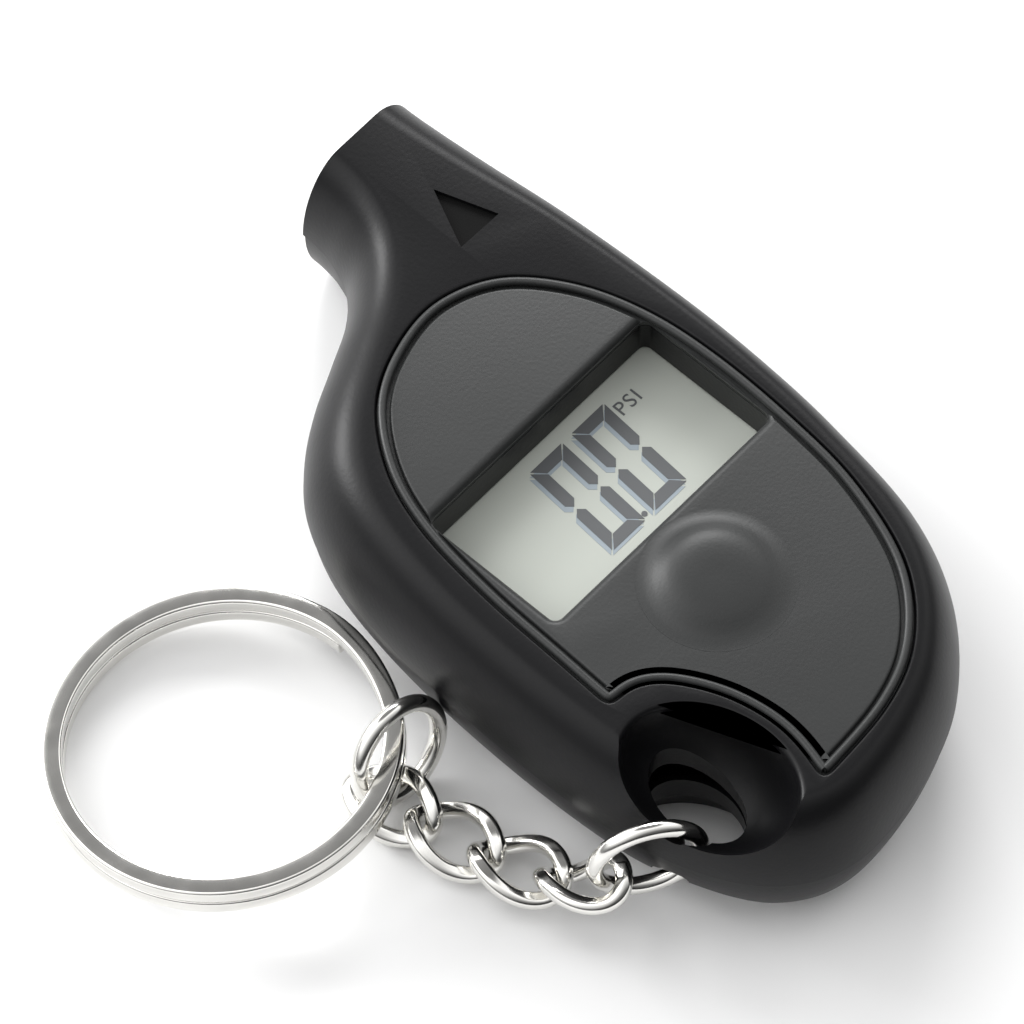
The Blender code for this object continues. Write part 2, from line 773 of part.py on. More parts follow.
wire_part("body_ring", ring_points(*BODY_RING, JUMP_R, RING_STEPS))
for number, (centre, yaw, pitch, roll) in enumerate(LINKS, 1):
    wire_part(f"chain_link_{number}", curb_link_points(centre, yaw, pitch, roll, RING_STEPS))
wire_part("jump_ring", ring_points(*JUMP_RING, JUMP_R, RING_STEPS))


def split_ring(turns=1.9, steps=64):
    """Flat wire wound almost twice, stepping down a level just before the first turn closes."""
    axis = Vector(SPLIT_AXIS).normalized()
    across = Vector((1, 0, 0)) - axis * axis.x
    across.normalize()
    up = axis.cross(across)
    level = (SPLIT_WIRE_H + SPLIT_COIL_GAP) / 2
    bm = bmesh.new()
    stack = []
    count = int(turns * steps)
    for i in range(count + 1):
        turn = i / steps
        step_down = min(1.0, max(0.0, (turn - 0.88) / 0.12))
        ease = step_down * step_down * (3 - 2 * step_down)
        height = level * (1 - 2 * ease)
        angle = SPLIT_START - 2 * math.pi * turn
        outward = math.cos(angle) * across + math.sin(angle) * up
        section = [
            (SPLIT_R[0], -SPLIT_WIRE_H / 2),
            (SPLIT_R[1], -SPLIT_WIRE_H / 2),
            (SPLIT_R[1], SPLIT_WIRE_H / 2),
            (SPLIT_R[0], SPLIT_WIRE_H / 2),
        ]
        stack.append([bm.verts.new(Vector(SPLIT_CENTRE) + r * outward + (height + h) * axis) for r, h in section])
    for here, ahead in zip(stack, stack[1:]):
        for k in range(4):
            j = (k + 1) % 4
            bm.faces.new((here[k], here[j], ahead[j], ahead[k]))
    bm.faces.new(stack[0])
    bm.faces.new(stack[-1])
    return finish(bm, "split_ring", "chrome")


split_ring()
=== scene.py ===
"""Finished look of a digital tyre pressure gauge on a key chain, laid over its CAD frame."""

import json
import math

import bmesh
import bpy
from bpy.props import FloatProperty, FloatVectorProperty, PointerProperty
from mathutils import Matrix, Vector

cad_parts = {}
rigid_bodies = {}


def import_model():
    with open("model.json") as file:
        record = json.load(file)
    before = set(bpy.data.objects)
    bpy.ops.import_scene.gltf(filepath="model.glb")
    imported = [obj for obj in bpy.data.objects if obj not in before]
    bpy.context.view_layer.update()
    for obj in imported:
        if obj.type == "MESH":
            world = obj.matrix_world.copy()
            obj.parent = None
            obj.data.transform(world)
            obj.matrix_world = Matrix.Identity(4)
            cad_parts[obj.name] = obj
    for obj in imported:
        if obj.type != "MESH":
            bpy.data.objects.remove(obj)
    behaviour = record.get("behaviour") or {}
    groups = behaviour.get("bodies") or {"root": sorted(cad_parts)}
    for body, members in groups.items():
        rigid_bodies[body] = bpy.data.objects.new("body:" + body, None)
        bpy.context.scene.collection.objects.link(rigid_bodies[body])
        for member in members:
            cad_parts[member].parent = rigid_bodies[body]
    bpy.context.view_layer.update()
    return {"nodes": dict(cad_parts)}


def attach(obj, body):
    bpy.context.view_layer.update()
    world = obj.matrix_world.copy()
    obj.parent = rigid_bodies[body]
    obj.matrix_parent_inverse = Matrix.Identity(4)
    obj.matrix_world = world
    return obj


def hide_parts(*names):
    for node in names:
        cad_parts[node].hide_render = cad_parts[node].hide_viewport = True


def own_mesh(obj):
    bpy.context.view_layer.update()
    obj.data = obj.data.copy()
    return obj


bl_info = {
    "name": "Tyre Pressure Gauge",
    "version": (1, 0, 0),
    "blender": (4, 5, 0),
    "location": "View3D > Sidebar > Gauge",
    "description": "Models a digital tyre pressure gauge with its chain and split ring",
    "category": "Object",
}

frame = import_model()

MM = 0.001

# ---- plan of the body, in millimetres ----------------------------------------------------
# Outline at the seam, clockwise from the nozzle: x, y, front shoulder, back shoulder.
OUTLINE = [
    (18.8, 42.0, 4.6, 4.6),
    (18.9, 36.0, 4.6, 4.6),
    (19.3, 29.0, 4.2, 4.6),
    (20.0, 19.0, 3.4, 4.6),
    (20.4, 6.5, 3.1, 4.6),
    (20.2, -2.5, 3.1, 4.6),
    (19.5, -10.5, 3.2, 4.6),
    (17.7, -20.5, 3.3, 4.7),
    (14.0, -27.8, 3.4, 4.8),
    (8.2, -33.0, 3.5, 5.0),
    (1.7, -35.7, 3.6, 5.2),
    (-5.2, -36.8, 3.7, 5.4),
    (-9.8, -36.2, 3.9, 5.5),
    (-13.4, -34.0, 4.1, 5.5),
    (-16.3, -30.3, 4.2, 5.5),
    (-18.3, -25.3, 4.3, 5.5),
    (-19.4, -19.5, 4.4, 5.5),
    (-19.8, -12.5, 4.4, 5.5),
    (-19.7, -5.0, 4.4, 5.5),
    (-19.2, 2.4, 4.5, 5.5),
    (-18.2, 9.1, 4.8, 5.5),
    (-16.8, 14.2, 5.2, 5.5),
    (-14.5, 18.4, 5.6, 5.5),
    (-11.4, 21.5, 5.6, 5.4),
    (-7.9, 23.8, 5.4, 5.2),
    (-3.9, 25.7, 5.0, 5.0),
    (0.2, 27.7, 4.7, 4.8),
    (3.2, 30.2, 4.5, 4.6),
    (4.6, 33.0, 4.5, 4.6),
    (5.2, 36.0, 4.5, 4.6),
    (5.4, 42.0, 4.6, 4.6),
    (7.4, 46.8, 4.6, 4.6),
    (12.1, 48.7, 4.6, 4.6),
    (16.8, 46.8, 4.6, 4.6),
]
PANEL_OUTER = [
    (-14.2, -15.0),
    (-13.9, -9.0),
    (-13.5, -1.0),
    (-12.4, 7.0),
    (-10.2, 13.0),
    (-6.2, 18.0),
    (-1.2, 20.5),
    (4.3, 21.1),
    (9.6, 18.8),
    (13.4, 13.8),
    (15.5, 7.6),
    (16.2, 0.5),
    (15.9, -8.0),
    (14.8, -16.0),
    (11.8, -24.0),
    (6.8, -29.2),
    (0.8, -31.6),
    (-7.5, -32.3),
]
PANEL_INNER = [
    (-7.5, -32.3),
    (-6.5, -28.4),
    (-6.4, -25.0),
    (-7.3, -21.0),
    (-9.3, -17.2),
    (-11.6, -15.3),
    (-14.2, -15.0),
]
FACE_Z = 17.0
SEAM_Z = 8.5
SEAM_GAP = 0.3
WALL = 1.8
CORE_WIDTH_SHARE = 0.6
BACK_INSET = 0.25
NOZZLE_END_Y = 37.1
NOZZLE_X = 12.1
BORE_R = 4.9
BORE_LENGTH = 8.4
BORE_MIDDLE_Y = NOZZLE_END_Y - 2.0
WINDOW = (-11.4, 15.0, -6.6, 7.5)
WINDOW_CORNER = 0.8
WINDOW_FRAME_Z = 12.4
WINDOW_FRAME_WALL = 1.2
BUTTON = (0.3, -13.7)
FLANGE_ROOM_R = 6.9
BUTTON_HOLE_R = 6.55
PANEL_HOLE_R = 5.6
DOME_LIFT = 0.86
DISH = (-13.5, -25.2)
DISH_R = (6.3, 8.4)
DISH_TURN = math.radians(12)
DISH_MIDDLE_Z = 16.5
DISH_DEPTH = 6.9
SCOOP_MIDDLE_Z = 0.0
SCOOP_DEPTH = 7.0
DISH_WALL = 1.6
KEY_HOLE = (-13.3, -23.9, 3.0, 4.7)
ARROW = [(12.2, 28.6), (14.1, 23.0), (9.6, 23.1)]
SCREWS = [(4.6, 24.2), (-13.0, 12.6), (8.4, -26.6)]
BOSS_R = 2.9
PILOT_R = 1.3
SCREW_WELL_R = 2.3
WIRE_R = 0.75
GROOVE_ROOM = 0.55
JUMP_R = 4.45
LINK_HALF_LENGTH = 4.0
LINK_HALF_WIDTH = 2.65
LINK_TWIST = math.radians(40)
BODY_RING = ((-19.2, -23.8, 8.75), (0.54, 0.84, 0.0))
LINKS = [
    ((-22.68, -20.1, 4.94), 106.3, -29.8, 17.0),
    ((-24.6, -14.71, 3.1), 104.8, -8.0, 4.5),
    ((-25.93, -8.76, 2.44), 99.1, -2.5, -8.1),
    ((-26.77, -2.68, 2.05), 97.7, -5.3, -20.0),
]
JUMP_RING = ((-24.15, -0.87, 5.11), (-0.026, -0.958, 0.274))
SPLIT_CENTRE = (-32.9, 10.6, 3.42)
SPLIT_AXIS = (-0.024, 0.114, 0.993)
SPLIT_R = (13.3, 15.0)
SPLIT_WIRE_H = 1.4
SPLIT_COIL_GAP = 0.1
SPLIT_START = math.radians(-38)
SPLIT_TURNS = 1.9
SPLIT_EASE = 0.28
SPLIT_STEP_START = 0.88
SPLIT_STEP_LENGTH = 0.12

# ---- display, in millimetres -------------------------------------------------------------
DIGIT_LOW = -3.76
DIGIT_HIGH = 6.24
DIGIT_WIDTH = 4.0
DIGIT_LEFTS = (-1.3, 3.8)
DIGIT_SLANT = math.tan(math.radians(4.5))
# Offset of the painted shadow: a flat grey-blue copy of the digit bars, shifted down and left, stands in
# for the shadow the bars cast on the display's back.
PAINTED_SHADOW_SHIFT = (-0.42, -0.3)
POINT_PLACE = (3.05, DIGIT_LOW + 0.45)
POINT_R = 0.26
UNIT_PLACE = (8.7, 4.2)
UNIT_HEIGHT = 1.9

# ---- stage, in metres --------------------------------------------------------------------
CAMERA_AIM = (0.001, 0.00955, 0.0)
CAMERA_WAY = (-0.3692, -0.3371, 0.8660)
CAMERA_LENS = 421.9
LAMP_SIZE = 0.22
LAMPS = (
    ("Back Light", (0.35, 0.32, 0.3), 1.6),
    ("Nozzle Light", (-0.15, 0.6, 0.22), 3.0),
)


class GaugeSizes(bpy.types.PropertyGroup):
    """Sizes a user may change."""

    dome_height: FloatProperty(
        name="Dome Height", description="How far the button stands up", default=1.6 * MM, unit="LENGTH"
    )
    bead_radius: FloatProperty(
        name="Bead Radius", description="Radius of the raised line round the panel", default=0.36 * MM,
        unit="LENGTH",
    )
    rim_round: FloatProperty(
        name="Rim Rounding", description="Rounding of the edge of the key-ring dish", default=0.6 * MM,
        unit="LENGTH",
    )
    digit_stroke: FloatProperty(
        name="Digit Stroke", description="Width of a digit's bars", default=1.1 * MM, unit="LENGTH"
    )


class GaugeColours(bpy.types.PropertyGroup):
    """Colours a user may change."""

    shell: FloatVectorProperty(
        name="Shell", description="Colour of the case", default=(0.0045, 0.0045, 0.0052), size=3,
        subtype="COLOR",
    )
    panel: FloatVectorProperty(
        name="Panel", description="Colour of the face panel and button", default=(0.021, 0.0222, 0.0222),
        size=3, subtype="COLOR",
    )
    display: FloatVectorProperty(
        name="Display", description="Colour of the display's background", default=(0.5, 0.525, 0.48),
        size=3, subtype="COLOR",
    )
    plating: FloatVectorProperty(
        name="Plating", description="Colour of the chain's nickel plate", default=(0.78, 0.77, 0.74),
        size=3, subtype="COLOR",
    )


# ---- mesh helpers ------------------------------------------------------------------------
def deselect():
    """Leave nothing selected, so that an operator acts on its own new piece alone."""
    for other in bpy.context.view_layer.objects:
        other.select_set(False)


def only(obj):
    """Select this object alone and make it active."""
    deselect()
    obj.select_set(True)
    bpy.context.view_layer.objects.active = obj


def from_bmesh(bm, name):
    """A linked object from a bmesh in millimetres, with its faces turned outward."""
    bmesh.ops.remove_doubles(bm, verts=bm.verts, dist=0.0005)
    bmesh.ops.recalc_face_normals(bm, faces=bm.faces)
    bmesh.ops.scale(bm, vec=(MM, MM, MM), verts=bm.verts)
    mesh = bpy.data.meshes.new(name)
    bm.to_mesh(mesh)
    bm.free()
    obj = bpy.data.objects.new(name, mesh)
    bpy.context.scene.collection.objects.link(obj)
    return obj


def cut(obj, *cutters):
    """Take each cutter out of the object, and remove the cutter."""
    for cutter in cutters:
        modifier = obj.modifiers.new("cut", "BOOLEAN")
        modifier.operation = "DIFFERENCE"
        modifier.object = cutter
        modifier.solver = "EXACT"
        only(obj)
        bpy.ops.object.modifier_apply(modifier=modifier.name)
        bpy.data.objects.remove(cutter, do_unlink=True)


def smooth(obj, degrees=32):
    """Shade smooth, with edges sharper than the angle kept."""
    only(obj)
    bpy.ops.object.shade_smooth_by_angle(angle=math.radians(degrees))


def dress(obj, material):
    """Give the object this material alone."""
    obj.data.materials.clear()
    obj.data.materials.append(material)


def skin(rings, name, closed=False, slice_y=None):
    """Faces between rings of points, capped at both ends unless the rings close on themselves."""
    bm = bmesh.new()
    stack = [[bm.verts.new(point) for point in ring] for ring in rings]
    count = len(stack[0])
    pairs = list(zip(stack, stack[1:]))
    if closed:
        pairs.append((stack[-1], stack[0]))
    for lower, upper in pairs:
        for i in range(count):
            j = (i + 1) % count
            bm.faces.new((lower[i], lower[j], upper[j], upper[i]))
    if not closed:
        bm.faces.new(stack[0])
        bm.faces.new(stack[-1])
    if slice_y is not None:
        geometry = bm.verts[:] + bm.edges[:] + bm.faces[:]
        bmesh.ops.bisect_plane(
            bm, geom=geometry, dist=1e-5, plane_co=(0, slice_y, 0), plane_no=(0, 1, 0), clear_outer=True
        )
        bmesh.ops.holes_fill(bm, edges=[e for e in bm.edges if e.is_boundary], sides=0)
    return from_bmesh(bm, name)


def turned(name, profile, place, steps=96):
    """A profile of (radius, height) points turned about its own Z axis, then placed."""
    bm = bmesh.new()
    corners = [bm.verts.new((r, 0.0, h)) for r, h in profile]
    edges = [bm.edges.new(pair) for pair in zip(corners, corners[1:])]
    bmesh.ops.spin(
        bm, geom=corners + edges, cent=(0, 0, 0), axis=(0, 0, 1), angle=2 * math.pi, steps=steps
    )
    bmesh.ops.remove_doubles(bm, verts=bm.verts, dist=0.0005)
    bmesh.ops.transform(bm, matrix=place, verts=bm.verts)
    return from_bmesh(bm, name)


def cylinder(name, matrix, radius, depth, steps=64):
    """A round bar added as a primitive, in millimetres, with its place in its mesh."""
    deselect()
    bpy.ops.mesh.primitive_cylinder_add(vertices=steps, radius=radius * MM, depth=depth * MM)
    bar = bpy.context.view_layer.objects.active
    bar.name = name
    place = matrix.copy()
    place.translation = place.translation * MM
    bar.data.transform(place)
    return bar


def block(name, low, high):
    """A box added as a primitive, in millimetres, with its place in its mesh."""
    deselect()
    bpy.ops.mesh.primitive_cube_add(size=1.0)
    cube = bpy.context.view_layer.objects.active
    cube.name = name
    size = [(h - l) * MM for l, h in zip(low, high)]
    middle = [(h + l) / 2 * MM for l, h in zip(low, high)]
    cube.data.transform(Matrix.Translation(middle) @ Matrix.Diagonal((*size, 1.0)))
    return cube


# ---- curves ------------------------------------------------------------------------------
def spline_point(p0, p1, p2, p3, t):
    """A point a share t of the way from p1 to p2 on the smooth curve through all four."""
    return [
        0.5 * (2 * b + (c - a) * t + (2 * a - 5 * b + 4 * c - d) * t * t + (3 * b - a - 3 * c + d) * t**3)
        for a, b, c, d in zip(p0, p1, p2, p3)
    ]


def even_loop(dense, samples):
    """Points evenly spaced along a closed dense loop, with whatever values ride on it."""
    lengths = [0.0]
    for a, b in zip(dense, dense[1:] + dense[:1]):
        lengths.append(lengths[-1] + math.hypot(b[0] - a[0], b[1] - a[1]))
    spaced = []
    k = 0
    for i in range(samples):
        target = lengths[-1] * i / samples
        while lengths[k + 1] < target:
            k += 1
        share = (target - lengths[k]) / (lengths[k + 1] - lengths[k])
        spaced.append([a + (b - a) * share for a, b in zip(dense[k], dense[(k + 1) % len(dense)])])
    return spaced


def smooth_loop(rows, samples):
    """A closed smooth curve through the rows, evenly sampled."""
    dense = []
    for i in range(len(rows)):
        around = [rows[(i + k) % len(rows)] for k in (-1, 0, 1, 2)]
        dense += [spline_point(*around, t / 24) for t in range(24)]
    return even_loop(dense, samples)


def smooth_path(rows, steps=16):
    """An open smooth curve through the rows, without its last point."""
    path = []
    last = len(rows) - 1
    for i in range(last):
        around = [rows[max(0, min(last, i + k))] for k in (-1, 0, 1, 2)]
        path += [spline_point(*around, t / steps)[:2] for t in range(steps)]
    return path


def inward_normals(points):
    """The direction into a clockwise loop at each of its points."""
    count = len(points)
    normals = []
    for i in range(count):
        ahead, behind = points[(i + 1) % count], points[i - 1]
        tangent = Vector((ahead[0] - behind[0], ahead[1] - behind[1])).normalized()
        normals.append(Vector((tangent.y, -tangent.x)))
    return normals


def relax(points, passes):
    """Round off the corners of a closed loop."""
    for _ in range(passes):
        count = len(points)
        points = [
            [
                (points[i - 1][k] + 2 * points[i][k] + points[(i + 1) % count][k]) / 4
                for k in range(2)
            ]
            for i in range(count)
        ]
    return points


seam_loop = smooth_loop(OUTLINE, 480)
seam_normals = inward_normals(seam_loop)
panel_loop = relax(even_loop(smooth_path(PANEL_OUTER) + smooth_path(PANEL_INNER), 420), 6)
panel_normals = inward_normals(panel_loop)


def panel_ring(offset, height):
    """The panel's outline moved outward by offset, at a height."""
    return [
        (p[0] - n.x * offset, p[1] - n.y * offset, height) for p, n in zip(panel_loop, panel_normals)
    ]


def shoulder_rings(start_z, end_z, column, inset, steps=18, share=1.0, lead=None, ease=0.0):
    """Rings up a quarter-round shoulder from the seam to the flat face."""
    rings = []
    for k in range(steps + 1):
        angle = math.pi / 2 * k / steps
        ring = []
        for row, normal in zip(seam_loop, seam_normals):
            depth = inset + row[column] * share * (1 - math.cos(angle))
            height = start_z + (end_z - start_z) * math.sin(angle)
            ring.append((row[0] + normal.x * depth, row[1] + normal.y * depth, height))
        rings.append(ring)
    if ease:
        upward = math.copysign(1.0, end_z - start_z)
        rings[0] = [(x, y, z + ease * upward) for x, y, z in rings[0]]
        rings.insert(
            0,
            [
                (row[0] + normal.x * (inset + ease), row[1] + normal.y * (inset + ease), start_z)
                for row, normal in zip(seam_loop, seam_normals)
            ],
        )
    if lead is not None:
        rings.insert(0, [(x, y, lead) for x, y, _ in rings[0]])
    return rings


def flared(radius, top, steps=8):
    """(offset, height) pairs of a quarter round that opens outward to a flat face at top."""
    turns = [math.pi / 2 * k / steps for k in range(steps + 1)]
    return [(radius * (1 - math.cos(a)), top - radius + radius * math.sin(a)) for a in turns]


def ellipse_ring(centre, radii, turn, offset, height, count=160):
    """A turned level ellipse, grown by offset."""
    ring = []
    for i in range(count):
        angle = 2 * math.pi * i / count
        x = (radii[0] + offset) * math.cos(angle)
        y = (radii[1] + offset) * math.sin(angle)
        ring.append(
            (
                centre[0] + x * math.cos(turn) - y * math.sin(turn),
                centre[1] + x * math.sin(turn) + y * math.cos(turn),
                height,
            )
        )
    return ring


def dish_cutter(name, middle, rise, face, side, rim, grow=0.0):
    """A half-ellipsoid scoop whose mouth is rounded over where it meets the flat face."""
    rings = []
    steps = 26
    wide, long = DISH_R[0] + grow - rim, DISH_R[1] + grow - rim
    for k in range(1, steps + 1):
        angle = math.pi / 2 * k / steps
        height = middle - side * (rise + grow) * math.cos(angle)
        if side * (face - height) > rim + 0.05:
            radii = (wide * math.sin(angle), long * math.sin(angle))
            rings.append(ellipse_ring(DISH, radii, DISH_TURN, 0.0, height))
    if rim:
        for offset, depth in flared(rim, 0.0):
            rings.append(ellipse_ring(DISH, (wide, long), DISH_TURN, offset, face + side * depth))
    rings.append(ellipse_ring(DISH, (wide, long), DISH_TURN, rim, face + side * 2))
    return skin(rings, name)


def rounded_rectangle(bounds, corner, offset, height, steps=8):
    """A level rectangle with round corners, grown by offset."""
    x0, x1, y0, y1 = bounds
    ring = []
    middle = corner + offset
    for cx, cy, start in (
        (x1 - corner, y1 - corner, 0),
        (x0 + corner, y1 - corner, 90),
        (x0 + corner, y0 + corner, 180),
        (x1 - corner, y0 + corner, 270),
    ):
        for k in range(steps + 1):
            angle = math.radians(start + 90 * k / steps)
            ring.append((cx + middle * math.cos(angle), cy + middle * math.sin(angle), height))
    return ring


def key_hole_cutter(name):
    """The oval hole from front to back for the body ring."""
    x, y, rx, ry = KEY_HOLE
    rings = [ellipse_ring((x, y), (rx, ry), 0.0, 0.0, h, 96) for h in (-2.0, FACE_Z + 2)]
    return skin(rings, name)


def nozzle_bore(name):
    """The round room for the valve chuck, along the nozzle."""
    place = Matrix.Translation((NOZZLE_X, BORE_MIDDLE_Y, SEAM_Z)) @ Matrix.Rotation(math.pi / 2, 4, "X")
    return cylinder(name, place, BORE_R, BORE_LENGTH, 96)


def upright(name, spot, middle_z, radius, depth, steps=64):
    """A round bar along Z, centred over a spot."""
    return cylinder(name, Matrix.Translation((*spot, middle_z)), radius, depth, steps)


# ---- wires -------------------------------------------------------------------------------
def ring_points(centre, axis, radius, count=120):
    """Points round a circle about an axis."""
    axis = Vector(axis).normalized()
    across = Vector((0, 0, 1)).cross(axis).normalized()
    up = axis.cross(across)
    angles = [2 * math.pi * i / count for i in range(count)]
    return [Vector(centre) + radius * (math.cos(a) * across + math.sin(a) * up) for a in angles]


def ring_groove(name):
    """Room for the body ring to swing in the walls of the key hole."""
    return wire(name, ring_points(*BODY_RING, JUMP_R, 72), WIRE_R + GROOVE_ROOM, 16)


def link_axes(yaw, pitch, roll):
    """A link's directions along, across and up, from its angles in degrees."""
    yaw, pitch, roll = (math.radians(v) for v in (yaw, pitch, roll))
    along = Vector((math.cos(yaw) * math.cos(pitch), math.sin(yaw) * math.cos(pitch), math.sin(pitch)))
    across = Vector((-math.sin(yaw), math.cos(yaw), 0.0))
    up = along.cross(across)
    return (
        along,
        across * math.cos(roll) + up * math.sin(roll),
        up * math.cos(roll) - across * math.sin(roll),
    )


def curb_link_points(centre, along, across, up, count=120):
    """An oval link twisted about its length."""
    points = []
    for i in range(count):
        angle = 2 * math.pi * i / count
        twist = LINK_TWIST * math.cos(angle)
        side = math.cos(twist) * across + math.sin(twist) * up
        points.append(
            Vector(centre)
            + LINK_HALF_LENGTH * math.cos(angle) * along
            + LINK_HALF_WIDTH * math.sin(angle) * side
        )
    return points


def wire(name, points, radius, sides=20, flat=None):
    """A closed round wire; flat = (axis, share) presses its section along an axis."""
    count = len(points)
    frames = []
    side = None
    for i in range(count):
        tangent = (points[(i + 1) % count] - points[i - 1]).normalized()
        if side is None:
            side = tangent.orthogonal().normalized()
        side = (side - tangent * side.dot(tangent)).normalized()
        frames.append((points[i], side, tangent.cross(side)))
    tangent = (points[1] - points[-1]).normalized()
    carried = (side - tangent * side.dot(tangent)).normalized()
    first = frames[0][1]
    drift = math.atan2(carried.cross(first).dot(tangent), carried.dot(first))
    rings = []
    for i, (centre, across, up) in enumerate(frames):
        turn = drift * i / count
        ring = []
        for k in range(sides):
            angle = 2 * math.pi * k / sides + turn
            out = radius * (math.cos(angle) * across + math.sin(angle) * up)
            if flat:
                axis, share = flat
                reach = out.dot(axis)
                limit = radius * share
                out = out + axis * (max(-limit, min(limit, reach)) - reach)
            ring.append(centre + out)
        rings.append(ring)
    return skin(rings, name, closed=True)


# ---- materials ---------------------------------------------------------------------------
def sum_node(nodes, operation, second=None):
    """A Math node, with its second value set where nothing feeds it."""
    node = nodes.new("ShaderNodeMath")
    node.operation = operation
    if second is not None:
        node.inputs[1].default_value = second
    return node


def surface_group():
    """Fine grain: breaks up a base colour and a roughness, and gives a bumped normal."""
    name = "Moulded Grain"
    if name in bpy.data.node_groups:
        return bpy.data.node_groups[name]
    group = bpy.data.node_groups.new(name, "ShaderNodeTree")
    face = group.interface
    for label, kind, value in (
        ("Colour", "NodeSocketColor", (0.5, 0.5, 0.5, 1.0)),
        ("Roughness", "NodeSocketFloat", 0.5),
        ("Grain Scale", "NodeSocketFloat", 2500.0),
        ("Grain Depth", "NodeSocketFloat", 0.2),
        ("Wear Scale", "NodeSocketFloat", 120.0),
        ("Wear", "NodeSocketFloat", 0.15),
    ):
        socket = face.new_socket(label, in_out="INPUT", socket_type=kind)
        socket.default_value = value
    for label, kind in (
        ("Colour", "NodeSocketColor"), ("Roughness", "NodeSocketFloat"), ("Normal", "NodeSocketVector")
    ):
        face.new_socket(label, in_out="OUTPUT", socket_type=kind)
    nodes, links = group.nodes, group.links
    inlet = nodes.new("NodeGroupInput")
    outlet = nodes.new("NodeGroupOutput")
    place = nodes.new("ShaderNodeTexCoord")
    grain = nodes.new("ShaderNodeTexNoise")
    grain.inputs["Detail"].default_value = 2.0
    patches = nodes.new("ShaderNodeTexNoise")
    patches.inputs["Detail"].default_value = 5.0
    links.new(place.outputs["Object"], grain.inputs["Vector"])
    links.new(place.outputs["Object"], patches.inputs["Vector"])
    links.new(inlet.outputs["Grain Scale"], grain.inputs["Scale"])
    links.new(inlet.outputs["Wear Scale"], patches.inputs["Scale"])
    bump = nodes.new("ShaderNodeBump")
    bump.inputs["Distance"].default_value = 0.00005
    links.new(inlet.outputs["Grain Depth"], bump.inputs["Strength"])
    links.new(grain.outputs["Fac"], bump.inputs["Height"])
    centred = sum_node(nodes, "SUBTRACT", 0.5)
    links.new(patches.outputs["Fac"], centred.inputs[0])
    scaled = sum_node(nodes, "MULTIPLY")
    links.new(centred.outputs[0], scaled.inputs[0])
    links.new(inlet.outputs["Wear"], scaled.inputs[1])
    rough = sum_node(nodes, "ADD")
    rough.use_clamp = True
    links.new(inlet.outputs["Roughness"], rough.inputs[0])
    links.new(scaled.outputs[0], rough.inputs[1])
    lift = sum_node(nodes, "ADD", 1.0)
    links.new(scaled.outputs[0], lift.inputs[0])
    tint = nodes.new("ShaderNodeVectorMath")
    tint.operation = "SCALE"
    links.new(inlet.outputs["Colour"], tint.inputs[0])
    links.new(lift.outputs[0], tint.inputs["Scale"])
    links.new(tint.outputs["Vector"], outlet.inputs["Colour"])
    links.new(rough.outputs[0], outlet.inputs["Roughness"])
    links.new(bump.outputs["Normal"], outlet.inputs["Normal"])
    return group


def finish_material(
    name, colour, roughness, metallic=0.0, grain=(2500.0, 0.2), wear=(120.0, 0.15), **sockets
):
    """A Principled material that takes its colour, roughness and normal from the grain group."""
    if name in bpy.data.materials:
        return bpy.data.materials[name]
    material = bpy.data.materials.new(name)
    material.use_nodes = True
    nodes, links = material.node_tree.nodes, material.node_tree.links
    shader = nodes["Principled BSDF"]
    detail = nodes.new("ShaderNodeGroup")
    detail.node_tree = surface_group()
    detail.inputs["Colour"].default_value = (*colour, 1.0)
    detail.inputs["Roughness"].default_value = roughness
    detail.inputs["Grain Scale"].default_value = grain[0]
    detail.inputs["Grain Depth"].default_value = grain[1]
    detail.inputs["Wear Scale"].default_value = wear[0]
    detail.inputs["Wear"].default_value = wear[1]
    links.new(detail.outputs["Colour"], shader.inputs["Base Color"])
    links.new(detail.outputs["Roughness"], shader.inputs["Roughness"])
    links.new(detail.outputs["Normal"], shader.inputs["Normal"])
    shader.inputs["Metallic"].default_value = metallic
    for socket, value in sockets.items():
        shader.inputs[socket.replace("_", " ")].default_value = value
    return material


def colours():
    """The colours a user may change."""
    return bpy.context.scene.gauge_colours


def shell_material():
    """Near-black satin plastic of both case halves."""
    return finish_material(
        "Dark Plastic", colours().shell, 0.38, grain=(2600.0, 0.22), wear=(90.0, 0.1),
        Specular_IOR_Level=0.2,
    )


def panel_material():
    """Dark grey plastic of the face panel and button."""
    return finish_material(
        "Panel Plastic", colours().panel, 0.46, grain=(3200.0, 0.3), wear=(110.0, 0.1),
        Specular_IOR_Level=0.42,
    )


def plating_material():
    """Bright plate of the chain and rings."""
    return finish_material(
        "Nickel Plate", colours().plating, 0.14, metallic=1.0, grain=(900.0, 0.05), wear=(400.0, 0.16)
    )


